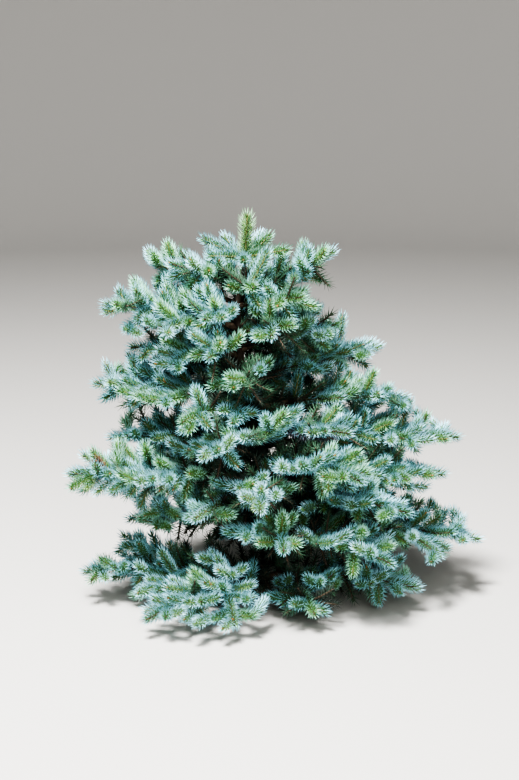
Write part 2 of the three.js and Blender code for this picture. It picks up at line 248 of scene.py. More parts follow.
def trunkRadius(share, angle):
    taper = trunk["topRadius"] + (trunk["footRadius"] - trunk["topRadius"]) * (1 - share) ** trunk["taper"]
    lobe = 1 - trunk["lobeDepth"] + trunk["lobeDepth"] * math.cos(trunk["flareLobes"] * angle)
    return taper + trunk["flare"] * lobe * math.exp(-trunkAt(share)[2] / trunk["flareHeight"])


def isInTrunk(point):
    share = trunkShare(point[2])
    return np.linalg.norm(point - trunkAt(share)) < trunkRadius(share, 0)


def limbCurve(limb):
    height, heading, reach, tip, arch, _ = limb
    root = trunkAt(trunkShare(height))
    end = root + direction(heading) * reach
    end[2] = tip
    return [root, root + (end - root) * 0.5 + up * 2 * arch * reach, end]


def limbRadius(limb, share):
    root = bough["rootRadius"] + limb[2] * bough["radiusPerReach"]
    return bough["tipRadius"] + (root - bough["tipRadius"]) * max(0, 1 - share / bough["bareShare"])


mostBalls = 40000


# Room: a ball at every step of every limb and twig, with its owner
class Room:
    def __init__(self):
        self.points = np.zeros((mostBalls, 3))
        self.radii = np.zeros(mostBalls)
        self.owners = np.zeros(mostBalls, int)
        self.twigs = np.zeros(mostBalls, int)
        self.count = 0

    def claim(self, owner, points, radii, twig=-1, bare=False):
        for point, radius in zip(points, radii):
            if bare or not isInTrunk(point):
                self.points[self.count] = point
                self.radii[self.count] = radius
                self.owners[self.count] = owner
                self.twigs[self.count] = twig
                self.count += 1

    def distances(self, points):
        return np.linalg.norm(points[:, None, :] - self.points[None, : self.count, :], axis=2)

    def near(self, points, margin):
        # the balls round a line of points, as indices
        low, high = points.min(axis=0) - margin, points.max(axis=0) + margin
        taken = self.points[: self.count]
        return np.nonzero(((taken > low) & (taken < high)).all(axis=1))[0]


owners = {"trunk": 0, "leader": 1}
for limbName in limbs:
    owners["bough_" + limbName] = len(owners)
    owners[limbName] = len(owners)

coarseRoom = Room()
twigs = []  # every twig of the plant, the limbs' own stems first


def makeTwig(owner, controls, start, end, normal, parent=None, **more):
    return {"owner": owner, "controls": controls, "start": start, "end": end, "normal": normal,
            "parent": parent, "order": 0 if parent is None else parent["order"] + 1,
            "number": len(twigs), "isInner": False, **more}


def makeRingedTwig(owner, controls, start, end, points, normal, reach, bareRings, parent=None):
    last = len(points) - 1
    reaches = [0 if i < bareRings else reach * (shoot["endShare"] if i in (last, bareRings) else 1)
               for i in range(last + 1)]
    return makeTwig(owner, controls, start, end, normal, parent,
                    points=points, reaches=reaches, bareRings=bareRings)


def roomOf(twig):
    bare = twig["bareRings"]
    cores = [shoot["stem"] + shoot["stemGrowth"] * i if i < bare else shoot["core"]
             for i in range(len(twig["points"]))]
    return np.maximum(shoot["room"] * np.array(twig["reaches"]), cores)


def isFree(owner, points, radii, parent):
    if (points[:, 2] - radii < clearance).any():
        return False
    far = coarseRoom.distances(points)
    n = coarseRoom.count
    isOwn = coarseRoom.owners[:n] == owner
    isParent = coarseRoom.twigs[:n] == parent
    if (far[:, ~isOwn] <= radii[:, None] + coarseRoom.radii[None, :n][:, ~isOwn] + clearance).any():
        return False
    gaps = np.where(isParent, shoot["needleReach"], branching["sisterGap"])[isOwn]
    return not (far[branching["freeRings"]:, isOwn] <= gaps[None, :]).any()


def shorten(twig, lines):
    for i, point in enumerate(twig["points"]):
        reach = twig["reaches"][i]
        for owner, line, radius in lines:
            if owner == twig["owner"] or not len(line):
                continue
            left = np.linalg.norm(line - point, axis=1).min() - clearance
            reach = min(reach, (left / 2 if radius is None else left - radius) / shoot["room"])
        twig["reaches"][i] = 0 if reach < shoot["leastReach"] else reach


def branch(parent, width, seed):
    points, normal, owner = parent["points"], parent["normal"], parent["owner"]
    last = len(points) - 1
    step = np.linalg.norm(points[0] - points[1])
    first = parent["bareRings"] + branching["firstRing"]
    for ring in range(first, last - 1):
        ahead = headingAt(points, ring)
        left = (last - ring) * step + shoot["tip"]
        for isUpper in (False, True):
            roll = dice((seed * 31 + ring * 7 + (14 if isUpper else 11)) % 2147483647)
            roll()
            angle = math.radians(roll(*branching["angle"]))
            size = roll(*branching["jitter"]) * (branching["upperLength"] if isUpper else 1)
            lift = roll(*branching["lift"])
            isNode = (ring - first) % branching["cycle"] < branching["cycle"] - 1
            if (roll() > branching["upperChance"]) if isUpper else not isNode:
                continue
            turn = 1 if ring % 2 else -1
            across = normal if isUpper else np.cross(normal, ahead) * turn
            heading = turned(ahead, across, angle)
            wanted = min(branching["longest"], left * width * size)
            for share in branching["tries"]:
                long = max(branching["shortest"], wanted * share)
                foot = points[ring]
                end = foot + heading * (long - shoot["tip"])
                handle = (foot + end) / 2
                controls = [foot, handle, end + normal * lift * share * long]
                ringPoints = stations(controls, 0, 1, shoot["sideStep"])
                twig = makeRingedTwig(owner, controls, 0, 1, ringPoints, normal, shoot["needleReach"],
                                      shoot["bareRings"], parent)
                if isFree(owner, ringPoints, roomOf(twig), parent["number"]):
                    twigs.append(twig)
                    coarseRoom.claim(owner, ringPoints, roomOf(twig), twig["number"])
                    break


# The limbs' own lines, then the leader, then the side shoots in what room is left
for i in range(trunk["balls"] + 1):
    share = i / trunk["balls"]
    coarseRoom.claim(0, [trunkAt(share)], [trunkRadius(share, 0)], bare=True)

lines = []
limbLines = {}
for name, limb in limbs.items():
    owner = owners[name]
    controls = limbCurve(limb)
    length = lengthOf(controls)
    hasBough = limb[2] >= bough["reachFrom"]
    limbLines[name] = controls
    if hasBough:
        bare = stations(controls, 0, bough["bareShare"], lineStep)
        line = np.array([p for p in bare if not isInTrunk(p)])
        radius = limbRadius(limb, 0)
        coarseRoom.claim(owners["bough_" + name], line, [radius] * len(line))
        lines.append((owner, line, radius))
    start = bough["bareShare"] + jointGap / length if hasBough else 0.0
    end = 1 - shoot["tip"] / length
    halfway = (1 + start) / 2
    ahead = unit(np.diff(bezier(controls, [halfway - tinyStep, halfway + tinyStep]), axis=0)[0])
    normal = unit(np.cross(ahead, np.cross(up, ahead)))
    points = stations(controls, start, end, shoot["ringStep"])
    twigs.append(makeRingedTwig(owner, controls, start, end, points, normal, shoot["needleReach"],
                                1 if hasBough else 2))
    line = np.array([p for p in stations(controls, start, 1, lineStep) if not isInTrunk(p)])
    lines.append((owner, line, None))
stems = list(twigs)

leaderFoot = trunkAt(1) + up * jointGap
leaderTip = leaderFoot + np.array([leader["lean"], 0, leader["length"] - shoot["tip"]])
leaderControls = [leaderFoot, (leaderFoot + leaderTip) / 2, leaderTip]
leaderTwigs = [makeRingedTwig(1, leaderControls, 0, 1, stations(leaderControls, 0, 1, leader["ringStep"]),
                              np.array([0.0, -1.0, 0.0]), leader["needleReach"], 1)]
twigs.append(leaderTwigs[0])
for i, (heading, slope, length) in enumerate(leader["whorl"]):
    foot = leaderFoot + up * (leader["whorlHeight"] + (i % 2) * leader["whorlStagger"])
    end = foot + direction(heading, slope) * (length - shoot["tip"])
    controls = [foot, (foot + end) / 2, end]
    leaderTwigs.append(makeRingedTwig(1, controls, 0, 1, stations(controls, 0, 1, shoot["sideStep"]),
                                      direction(heading, slope + 90), leader["whorlNeedleReach"], 1))
    twigs.append(leaderTwigs[-1])
for twig in leaderTwigs:
    lines.append((1, twig["points"], None))

for twig in stems + leaderTwigs:
    shorten(twig, lines)
    coarseRoom.claim(twig["owner"], twig["points"], roomOf(twig), twig["number"])
for number, (name, limb) in enumerate(limbs.items()):
    branch(stems[number], limb[5], number * 131 + 17)
print("limbs and first side shoots:", len(twigs))

# Finer twigs inside each mass: left and right of every twig in turn, some on top, and a pair at its tip
finer = {
    "firstNode": (10, 15),  # mm from the twig's foot
    "lastNode": 6,  # mm from its tip
    "lineStep": 2,
    "nodeStep": (6.5, 9.5),
    "angle": (40, 60),
    "share": 0.8,  # of what is left of its parent and a little more
    "extra": 10,
    "jitter": (0.8, 1.2),
    "shortest": 23,
    "longest": 56,
    "lift": (0.0, 0.26),
    "chord": 0.96,  # how far along its heading a bent twig ends
    "tries": (1, 0.8, 0.62),
    "upperChance": 0.17,
    "lowerChance": 0.05,
    "crownUpperChance": 0.7,
    "sideRise": (-0.2, 0.36),
    "upperRise": (0.8, 1.5),  # how far round towards the top an upper shoot stands, in radians
    "crownRise": (0.55, 1.15),
    "lowerDrop": (0.9, 1.3),
    "crownLift": 0.1,
    "sisterGap": 15,
    "parentGap": 7.5,
    "otherGap": 17.5,
    "nearMargin": 2,
    "innerGap": 8.5,  # between old shoots inside the crown and anything else
    "beyond": 22,  # how far to the side of its mass's first twigs a finer one may end
    "beyondAhead": 6,  # the same straight out from the trunk
    "beyondUp": 10,
    "beyondCrown": 8,  # and that much more upward in the crown
    "aheadFrom": 0.6,  # cosine between a feeler and its mass within which it points straight out
    "uprightFrom": 0.7,
    "rounds": 3,
    "woodGap": 6,
    "groundGap": 10,
    "crownTop": 413,  # finer shoots of the crown end below this height, and leave the leader clear
    "freeLength": 15,
    "roomStep": 6,
    "tipPair": (24, 34),
    "tipPairBack": 9,
    "tipPairAngle": (38, 52),
}

fineRoom = Room()
for i in range(coarseRoom.count):
    if coarseRoom.twigs[i] < 0:
        fineRoom.claim(coarseRoom.owners[i], [coarseRoom.points[i]], [coarseRoom.radii[i]], bare=True)

crownOwners = {number for name, number in owners.items() if name.startswith("crown_")}

# How far each mass's first twigs reach in many directions, so that the finer ones keep the same outline
feelers = np.array([direction(h, s) for s in (-60, -30, 0, 30, 60) for h in range(0, 360, 20)]
                   + [direction(0, 90), direction(0, -90)])
massPoints = {}
for twig in twigs:
    massPoints.setdefault(twig["owner"], []).append(twig["points"])
massReach = {}
for twig in stems:
    owner = twig["owner"]
    furthest = (feelers @ np.concatenate(massPoints[owner]).T).max(axis=1)
    isAhead = feelers @ unit(twig["points"][-1] - twig["points"][0]) > finer["aheadFrom"]
    isUpright = np.abs(feelers[:, 2]) > finer["uprightFrom"]
    beyondUp = finer["beyondUp"] + (finer["beyondCrown"] if owner in crownOwners else 0)
    beyond = np.where(isUpright, beyondUp, finer["beyond"])
    massReach[owner] = furthest + np.where(isAhead, finer["beyondAhead"], beyond)


# The gap at the front through which the trunk shows, as lines from the trunk towards the viewer
recess = {"heights": (292, 304, 316, 328, 340, 350), "viewer": (-35.6, -1600, 620), "radius": 14, "from": 6}
recessFeet = np.array([trunkAt(trunkShare(h)) for h in recess["heights"]])
recessWays = unit(np.array(recess["viewer"]) - recessFeet)


def isInRecess(line):
    fromTrunk = line[:, None, :] - recessFeet[None]
    ahead = (fromTrunk * recessWays[None]).sum(axis=2)
    aside = np.linalg.norm(fromTrunk - ahead[:, :, None] * recessWays[None], axis=2)
    return ((ahead > recess["from"]) & (aside < recess["radius"])).any()


def claimFine(twig):
    line = stations(twig["controls"], twig["start"], twig["end"], finer["roomStep"])
    fineRoom.claim(twig["owner"], line, [0] * len(line), twig["number"])


for twig in twigs:
    claimFine(twig)


def growFine(parent, foot, heading, wanted, lift, isInner=False):
    for share in finer["tries"]:
        long = max(finer["shortest"], wanted * share)
        end = foot + heading * long * finer["chord"] + up * lift * long
        controls = [foot, foot + heading * long * 0.5, end]
        line = stations(controls, 0, 1, finer["roomStep"])
        if (line[:, 2] < finer["groundGap"]).any() or line[-1][2] > finer["crownTop"] or isInRecess(line):
            continue
        if not isInner and (feelers @ line[-1] > massReach[parent["owner"]]).any():
            continue
        near = fineRoom.near(line, finer["otherGap"] + finer["nearMargin"])
        far = np.linalg.norm(line[:, None, :] - fineRoom.points[None, near, :], axis=2)
        isOwn = fineRoom.owners[near] == parent["owner"]
        isWood = fineRoom.twigs[near] < 0
        isParent = fineRoom.twigs[near] == parent["number"]
        along = np.linspace(0, long, len(line))
        late = along > finer["freeLength"]
        if isInner:
            isTight = (far[late] < finer["innerGap"]).any()
        else:
            woodGaps = fineRoom.radii[near][isWood][None, :] + finer["woodGap"]
            isTight = ((far[:, isWood] < woodGaps).any()
                       or (far[:, ~isOwn & ~isWood] < finer["otherGap"]).any()
                       or (far[late][:, isOwn & ~isParent] < finer["sisterGap"]).any()
                       or (far[late][:, isParent] < finer["parentGap"]).any())
        if isTight:
            continue
        twigs.append(makeTwig(parent["owner"], controls, 0, 1, parent["normal"], parent, isInner=isInner))
        claimFine(twigs[-1])
        return


def branchFine(parent, seed):
    roll = dice(seed)
    roll()
    line = stations(parent["controls"], parent["start"], parent["end"], finer["lineStep"])
    along = lengthAlong(line)
    total = along[-1]
    normal = parent["normal"]
    at = roll(*finer["firstNode"])
    turn = 1
    while at < total - finer["lastNode"]:
        i = int(np.searchsorted(along, at))
        ahead = headingAt(line, min(i, len(line) - 1))
        side = np.cross(normal, ahead) * turn
        kinds = [roll(*finer["sideRise"])]
        isCrown = parent["owner"] in crownOwners
        if roll() < finer["crownUpperChance" if isCrown else "upperChance"]:
            kinds.append(roll(*finer["crownRise" if isCrown else "upperRise"]))
        if roll() < finer["lowerChance"]:
            kinds.append(-roll(*finer["lowerDrop"]))
        for rise in kinds:
            across = unit(turned(side, normal, rise))
            angle = math.radians(roll(*finer["angle"]))
            heading = unit(turned(ahead, across, angle))
            left = total - at + finer["extra"]
            wanted = min(finer["longest"], left * finer["share"]) * roll(*finer["jitter"])
            lift = roll(*finer["lift"]) + (finer["crownLift"] if isCrown else 0)
            growFine(parent, line[i], heading, wanted, lift)
        at += roll(*finer["nodeStep"])
        turn = -turn
    i = int(np.searchsorted(along, max(0, total - finer["tipPairBack"])))
    ahead = headingAt(line, min(i, len(line) - 1))
    for turn in (1, -1):
        angle = math.radians(roll(*finer["tipPairAngle"]))
        heading = unit(turned(ahead, np.cross(normal, ahead) * turn, angle))
        growFine(parent, line[i], heading, roll(*finer["tipPair"]), roll(*finer["lift"]))


for growthRound in range(finer["rounds"]):
    parents = [t for t in twigs if t["owner"] != 1]
    if growthRound == 0:
        parents.sort(key=lambda t: (-t["order"], t["number"]))
    for twig in parents:
        branchFine(twig, twig["number"] * 977 + 41 + 422 * growthRound)
    print("round", growthRound + 1, "of finer twigs:", len(twigs))

# Short old shoots on the bare wood inside the crown: along each limb, and up the trunk
goldenTurn = 137.5  # degrees round a stem from one shoot to the next
inner = {
    "lineStep": 2,
    "limbFrom": 20,
    "limbShare": 0.7,
    "limbStep": (2.2, 4.0),
    "limbAngle": (45, 80),
    "limbLength": (22, 42),
    "limbLift": (-0.05, 0.15),
    "trunkSeed": 8123,
    "trunkFrom": 34,
    "trunkTo": 372,
    "trunkStep": 1.0,
    "trunkLength": (34, 62),
    "crownFrom": 285,  # height on the trunk above which they are shorter
    "crownShare": 0.66,
    "trunkSlope": (5, 40),
    "trunkLift": 0.05,
    "youngFrom": (0.48, 0.3),  # how far out they have the young shoots' colours, below and in the crown; further in they take darker colours, painted shade of the crown's inside as well as old needles
    "crownBase": 320,
}
for number, name in enumerate(limbs):
    stem = stems[number]
    roll = dice(number * 389 + 29)
    roll()
    line = stations(limbLines[name], 0, 1, inner["lineStep"])
    at = inner["limbFrom"]
    turn = roll(0, 360)
    while at < len(line) * inner["lineStep"] * inner["limbShare"]:
        i = int(at / inner["lineStep"])
        ahead = headingAt(line, i)
        side = unit(np.cross(up, ahead))
        turn += goldenTurn
        around = turned(side, np.cross(ahead, side), math.radians(turn))
        heading = unit(turned(ahead, around, math.radians(roll(*inner["limbAngle"]))))
        growFine(stem, line[i], heading, roll(*inner["limbLength"]), roll(*inner["limbLift"]), True)
        at += roll(*inner["limbStep"])
roll = dice(inner["trunkSeed"])
limbHeights = [limb[0] for limb in limbs.values()]
height = inner["trunkFrom"]
turn = 0
while height < inner["trunkTo"]:
    nearest = min(range(len(limbs)), key=lambda k: abs(limbHeights[k] - height))
    turn += goldenTurn
    ahead = direction(turn, roll(*inner["trunkSlope"]))
    long = roll(*inner["trunkLength"]) * (inner["crownShare"] if height > inner["crownFrom"] else 1)
    growFine(stems[nearest], trunkAt(trunkShare(height)), ahead, long, inner["trunkLift"], True)
    height += inner["trunkStep"]
print("with old shoots inside:", len(twigs))

# Shoots at places of their own: limb, share of its length, way they head, slope, length, colour. The dark
# ones are painted shade, set in the shade under the sprays and between the tiers.
placedShoots = (
    ("low_left", 0.50, 222, -36, 44, "deep"),
    ("low_left", 0.60, 232, 24, 40, "silver"),
    ("low_left", 0.62, 206, -38, 40, "blue"),
    ("low_left", 0.70, 218, -30, 42, "silver"),
    ("low_left", 0.78, 198, -38, 36, "blue"),
    ("low_left", 0.84, 226, -22, 36, "green"),
    ("low_left", 0.84, 240, -44, 22, "fresh"),
    ("low_left", 0.90, 232, -40, 20, "fresh"),
    ("low_left", 0.80, 258, 38, 27, "dried"),
    ("low_front", 0.74, 254, -14, 26, "fresh"),
    ("middle_front_right", 0.40, 330, -12, 50, "withered"),
    ("middle_front_right", 0.34, 300, -4, 44, "withered"),
    ("middle_front_right", 0.20, 286, -34, 36, "deep"),
    ("upper_left", 0.50, 205, -38, 42, "deep"),
    ("upper_left", 0.62, 188, -42, 40, "deep"),
    ("upper_left", 0.74, 172, -36, 36, "blue"),
    ("middle_left", 0.60, 200, 30, 38, "deep"),
    ("upper_back_right", 0.30, 352, -8, 44, "deep"),
    ("upper_right", 0.26, 60, 22, 44, "deep"),
)
placedLift = 0.1  # how far they bend upward, as a share of their length
for name, share, heading, slope, long, colour in placedShoots:
    foot = bezier(limbLines[name], [share])[0]
    ahead = direction(heading, slope)
    controls = [foot, foot + ahead * long * 0.5, foot + ahead * long + up * long * placedLift]
    normal = unit(np.cross(np.cross(ahead, up), ahead))
    stem = stems[list(limbs).index(name)]
    twigs.append(makeTwig(owners[name], controls, 0, 1, normal, stem, order=2, colour=colour))

# Needles, and the shoots that carry them
shootLooks = {
    "step": 5.0,
    "needleLength": 11.6,
    "needleWidth": 1.15,
    "oldWidth": 1.6,
    "spacing": 0.3,  # mm of stem to each needle
    "oldSpacing": 0.6,
    "openAngle": 66,
    "leaderAngle": 68,
    "tipAngle": 12,
    "tipTaper": 8.0,  # mm of a shoot's end over which its needles turn forward
    "leaderTaper": 8.0,
    "leaderLength": 1.16,  # its needles are longer than the others
    "angleJitter": 4,
    "bend": 15,  # how much further forward a needle's outer half points
    "rootShare": 0.42,  # of a needle's length that has the darker colour, partly painted shade toward the stem
    "upward": 0.16,
    "bareFoot": 3.0,
    "limbBareShare": 0.12,
    "fewest": 3,
    "placeJitter": 0.8,
    "turn": 137.508,  # degrees round the stem from one needle to the next
    "turnJitter": 14,
    "tipCurve": 0.6,
    "footTaper": 7.0,  # mm from the foot over which the needles grow to their full length
    "footShare": 0.72,
    "lengthJitter": (0.9, 1.05),
    "tipShare": 0.93,
    "topLonger": 0.1,
    "freshShare": 0.72,
    "sunk": 0.6,  # share of the stem's radius at which a needle starts
    "rootWidth": 0.8,
}

# Colours of the shoots, first at a needle's root and then at its tip; the darker root is partly the
# needle's greener base and partly painted shade toward the stem
sprayColours = {
    "silver": ((0.15, 0.29, 0.125), (0.39, 0.70, 0.79)),
    "blue": ((0.10, 0.225, 0.10), (0.26, 0.54, 0.60)),
    "green": ((0.12, 0.265, 0.08), (0.30, 0.58, 0.46)),
    # a darker copy of the blue needles: painted shade, for shoots inside the crown and in the gaps between
    # the tiers
    "deep": ((0.04, 0.10, 0.055), (0.14, 0.28, 0.24)),
    # near-black needles: the darker old needles inside the crown, with painted shade of the crown's inside
    "old": ((0.014, 0.03, 0.02), (0.045, 0.09, 0.065)),
    "fresh": ((0.20, 0.36, 0.11), (0.46, 0.67, 0.34)),
    "top": ((0.10, 0.20, 0.055), (0.26, 0.44, 0.27)),
    "dried": ((0.06, 0.038, 0.025), (0.19, 0.115, 0.07)),
    "withered": ((0.085, 0.075, 0.085), (0.25, 0.27, 0.33)),
}
plainColours = ("deep", "old")  # plainer needles, on shoots inside the crown

# How many of the shoots take each colour, from the outside of the crown to the wood inside. The mixes grow
# darker further in: painted shade of the crown's inside, partly the real darker old needles.
colourShares = {
    "outside": {"silver": 0.32, "blue": 0.40, "green": 0.25, "deep": 0.03},
    "between": {"silver": 0.2, "blue": 0.4, "green": 0.22, "deep": 0.15, "old": 0.03},
    "inside": {"blue": 0.12, "green": 0.12, "deep": 0.4, "old": 0.36},
    "ground": {"silver": 0.42, "blue": 0.44, "green": 0.1, "deep": 0.04},
    "youngInner": {"blue": 0.4, "green": 0.3, "deep": 0.3},
    "oldInner": {"blue": 0.03, "green": 0.05, "deep": 0.42, "old": 0.5},
}
crownWidth = {
    "heights": (0, 60, 150, 250, 330, 400, 460),
    "reaches": (235, 240, 235, 205, 160, 110, 30),
    "leaderExtra": 0.5,
    "outsideFrom": 0.5,
    "betweenFrom": 0.3,
}


def trace(twig):
    return stations(twig["controls"], twig["start"], twig["end"], shootLooks["step"])


def frames(line, normal):
    # heading, side and over at each point of a line
    ahead = unit(np.gradient(line, axis=0))
    side = unit(np.cross(normal, ahead))
    return ahead, side, np.cross(ahead, side)


hasChild = {t["parent"]["number"] for t in twigs if t["parent"] is not None}
groundOwners = {number for name, number in owners.items() if name.startswith("ground_")}


def outwardness(point):
    # 0 at the trunk, 1 at the crown's outside at that height
    centre = trunkAt(trunkShare(min(max(point[2], 0), trunk["top"][2])))
    widest = np.interp(point[2], crownWidth["heights"], crownWidth["reaches"])
    return np.linalg.norm((point - centre)[:2]) / widest


for twig in twigs:
    roll = dice(twig["number"] * 613 + 7)
    roll()
    tip = bezier(twig["controls"], [twig["end"]])[0]
    out = outwardness(tip) + (crownWidth["leaderExtra"] if twig["owner"] == 1 else 0)
    pick = roll()
    if twig["isInner"]:
        isYoung = out > inner["youngFrom"][int(tip[2] > inner["crownBase"])]
        place = "youngInner" if isYoung else "oldInner"
    elif twig["owner"] in groundOwners:
        place = "ground"
    elif out > crownWidth["outsideFrom"]:
        place = "outside"
    else:
        place = "between" if out > crownWidth["betweenFrom"] else "inside"
    total = 0
    for colour, chance in colourShares[place].items():
        total += chance
        if pick <= total:
            break
    twig.setdefault("colour", colour)
    twig["isOld"] = twig["number"] in hasChild and twig["order"] < 2


leaderTwigs[0]["colour"] = "top"


# Thickness of a shoot at its foot, and how much thinner it is at its tip
stemWidths = {"limb": (2.6, 1.5), "first": (1.5, 0.5), "twig": (0.85, 0.2)}


def stemRadius(twig, shares):
    if twig["order"] == 0 and twig["owner"] != 1:
        foot, less = stemWidths["limb"]
    else:
        foot, less = stemWidths["first" if twig["order"] <= 1 else "twig"]
    return foot - less * shares


def needlesOf(twig):
    line = trace(twig)
    along = lengthAlong(line)
    total = along[-1]
    generator = np.random.default_rng(twig["number"] + 5)
    isPlain = twig["colour"] in plainColours
    spacing = shootLooks["oldSpacing"] if isPlain else shootLooks["spacing"]
    start = shootLooks["bareFoot"]
    if twig["order"] == 0 and twig["owner"] != 1:
        start = total * shootLooks["limbBareShare"]
    count = int((total - start) / spacing)
    if count < shootLooks["fewest"]:
        return None
    s = start + (np.arange(count) + generator.uniform(0, shootLooks["placeJitter"], count)) * spacing
    s = np.minimum(s, total)
    ahead, side, over = frames(line, twig["normal"])

    def along3(values):
        return np.stack([np.interp(s, along, values[:, k]) for k in range(3)], axis=1)

    centre, ahead, side, over = along3(line), unit(along3(ahead)), unit(along3(side)), unit(along3(over))
    jitter = shootLooks["turnJitter"]
    turn = np.radians(np.arange(count) * shootLooks["turn"] + generator.uniform(0, 360)
                      + generator.uniform(-jitter, jitter, count))
    radial = unit(side * np.cos(turn)[:, None] + over * np.sin(turn)[:, None] + up * shootLooks["upward"])
    isLeader = twig is leaderTwigs[0]
    toTip = np.clip((total - s) / shootLooks["leaderTaper" if isLeader else "tipTaper"], 0, 1)
    openAngle = shootLooks["leaderAngle" if isLeader else "openAngle"]
    angle = shootLooks["tipAngle"] + (openAngle - shootLooks["tipAngle"]) * toTip ** shootLooks["tipCurve"]
    angle = np.radians(angle + generator.uniform(-1, 1, count) * shootLooks["angleJitter"])
    bend = math.radians(shootLooks["bend"])
    lower = ahead * np.cos(angle + bend * 0.5)[:, None] + radial * np.sin(angle + bend * 0.5)[:, None]
    upper = ahead * np.cos(angle - bend)[:, None] + radial * np.sin(angle - bend)[:, None]
    upper = unit(upper + up * shootLooks["upward"])
    fromFoot = np.clip((s - start) / shootLooks["footTaper"], 0, 1)
    grown = shootLooks["footShare"] + (1 - shootLooks["footShare"]) * fromFoot
    long = shootLooks["needleLength"] * grown * generator.uniform(*shootLooks["lengthJitter"], count)
    long *= shootLooks["tipShare"] + (1 - shootLooks["tipShare"]) * toTip
    long *= 1 + shootLooks["topLonger"] * radial[:, 2]
    if twig["colour"] == "fresh":
        long *= shootLooks["freshShare"]
    if isLeader:
        long *= shootLooks["leaderLength"]
    thick = stemRadius(twig, s / total)
    base = centre + radial * (thick * shootLooks["sunk"])[:, None]
    middle = base + lower * (long * shootLooks["rootShare"])[:, None]
    tip = middle + upper * (long * (1 - shootLooks["rootShare"]))[:, None]
    sideways = unit(np.cross(ahead, radial))
    half = shootLooks["oldWidth" if isPlain else "needleWidth"] / 2
    verts = np.zeros((count, 7, 3))
    ridge = np.cross(lower, sideways)
    for k, degrees in enumerate((90, 210, 330)):
        corner = turned(sideways, ridge, math.radians(degrees))
        verts[:, k] = base + corner * half * shootLooks["rootWidth"]
        verts[:, 3 + k] = middle + corner * half
    verts[:, 6] = tip
    return verts[:, [0, 1, 2, 6]] if isPlain else verts  # three faces to a plain needle


# a needle is a ridge with two sides, open underneath, and its outer half has a colour of its own; the
# darker inner half is partly painted shade toward the stem
needleQuads = np.array([[0, 1, 4, 3], [2, 0, 3, 5]])
needleTris = np.array([[3, 4, 6], [5, 3, 6]])
plainNeedleTris = np.array([[0, 1, 3], [1, 2, 3], [2, 0, 3]])


def addObject(name, data):
    thing = bpy.data.objects.new(name, data)
    bpy.context.scene.collection.objects.link(thing)
    return thing


# Points and faces gathered for one joined mesh
class Bundle:
    def __init__(self):
        self.points, self.quads, self.tris, self.quadSlots, self.triSlots = [], [], [], [], []
        self.count = 0

    def add(self, points, quads, tris, slotNumber=0, triSlot=None):
        self.points.append(points)
        self.quads.append(quads + self.count)
        self.tris.append(tris + self.count)
        self.quadSlots.append(np.full(len(quads), slotNumber))
        self.triSlots.append(np.full(len(tris), slotNumber if triSlot is None else triSlot))
        self.count += len(points)

    def make(self, name, materials):
        quads, tris = np.concatenate(self.quads), np.concatenate(self.tris)
        mesh = bpy.data.meshes.new(name)
        mesh.vertices.add(self.count)
        mesh.vertices.foreach_set("co", (np.concatenate(self.points) * mm).astype(np.float32).ravel())
        loops = np.concatenate([quads.ravel(), tris.ravel()])
        mesh.loops.add(len(loops))
        mesh.loops.foreach_set("vertex_index", loops.astype(np.int32))
        starts = np.concatenate([np.arange(len(quads)) * 4, len(quads) * 4 + np.arange(len(tris)) * 3])
        mesh.polygons.add(len(starts))
        mesh.polygons.foreach_set("loop_start", starts.astype(np.int32))
        for material in materials:
            mesh.materials.append(material)
        slots = np.concatenate(self.quadSlots + self.triSlots)
        mesh.polygons.foreach_set("material_index", slots.astype(np.int32))
        mesh.polygons.foreach_set("use_smooth", np.full(len(starts), True))
        mesh.update(calc_edges=True)
        mesh.validate()
        return addObject(name, mesh), 2 * len(quads) + len(tris)


# Materials
def setInputs(node, values):
    for name, value in values.items():
        node.inputs[name].default_value = value


def plainMaterial(name, colour, roughness, specular=0.5):
    material = bpy.data.materials.new(name)
    material.use_nodes = True
    setInputs(material.node_tree.nodes["Principled BSDF"],
              {"Base Color": (*colour, 1), "Roughness": roughness, "Specular IOR Level": specular})
    return material


needleMaterials = []
slotOf = {}
for colourName, (rootColour, tipColour) in sprayColours.items():
    slotOf[colourName] = len(needleMaterials)
    needleMaterials.append(plainMaterial(colourName + "NeedleRoot", rootColour, 0.6, 0.35))
    needleMaterials.append(plainMaterial(colourName + "NeedleTip", tipColour, 0.58, 0.35))

# One piece for the front and one for the back of each tier, so that each stays under 200,000 triangles
pieceTwigs = {}
pieceNodes = {}
for name, limb in limbs.items():
    pieceName = name.split("_")[0] + ("_front" if limb[1] > 180 else "_back")
    pieceTwigs.setdefault(pieceName, []).extend(t for t in twigs if t["owner"] == owners[name])
    pieceNodes.setdefault(pieceName, []).append("foliage_" + name)
pieceTwigs["leader"] = [t for t in twigs if t["owner"] == owners["leader"]]
pieceNodes["leader"] = ["foliage_leader"]

total = 0
for pieceName, pieceShoots in pieceTwigs.items():
    needles = Bundle()
    for twig in pieceShoots:
        points = needlesOf(twig)
        if points is None:
            continue
        count, size, _ = points.shape
        base = np.arange(count)[:, None, None] * size
        points = points.reshape(-1, 3)
        slotNumber = slotOf[twig["colour"]]
        if twig["colour"] in plainColours:
            tris = (base + plainNeedleTris[None]).reshape(-1, 3)
            needles.add(points, np.zeros((0, 4), int), tris, slotNumber)
        else:
            needles.add(points, (base + needleQuads[None]).reshape(-1, 4),
                        (base + needleTris[None]).reshape(-1, 3), slotNumber, slotNumber + 1)
    piece, faces = needles.make("needles_" + pieceName, needleMaterials)
    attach(piece, "root")
    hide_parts(*pieceNodes[pieceName])
    total += faces
    print("needles of", pieceName, faces, "triangles", len(pieceShoots), "shoots")
print("needles in all:", total)


tubeTip = 1.2  # length of a tube's pointed end, in radii


# Tubes along shoots and limbs
def ringQuads(rings, sides):
    i = np.arange(rings - 1)[:, None] * sides
    j = np.arange(sides)[None, :]
    k = (j + 1) % sides
    return np.stack([i + j, i + k, i + sides + k, i + sides + j], axis=-1).reshape(-1, 4)


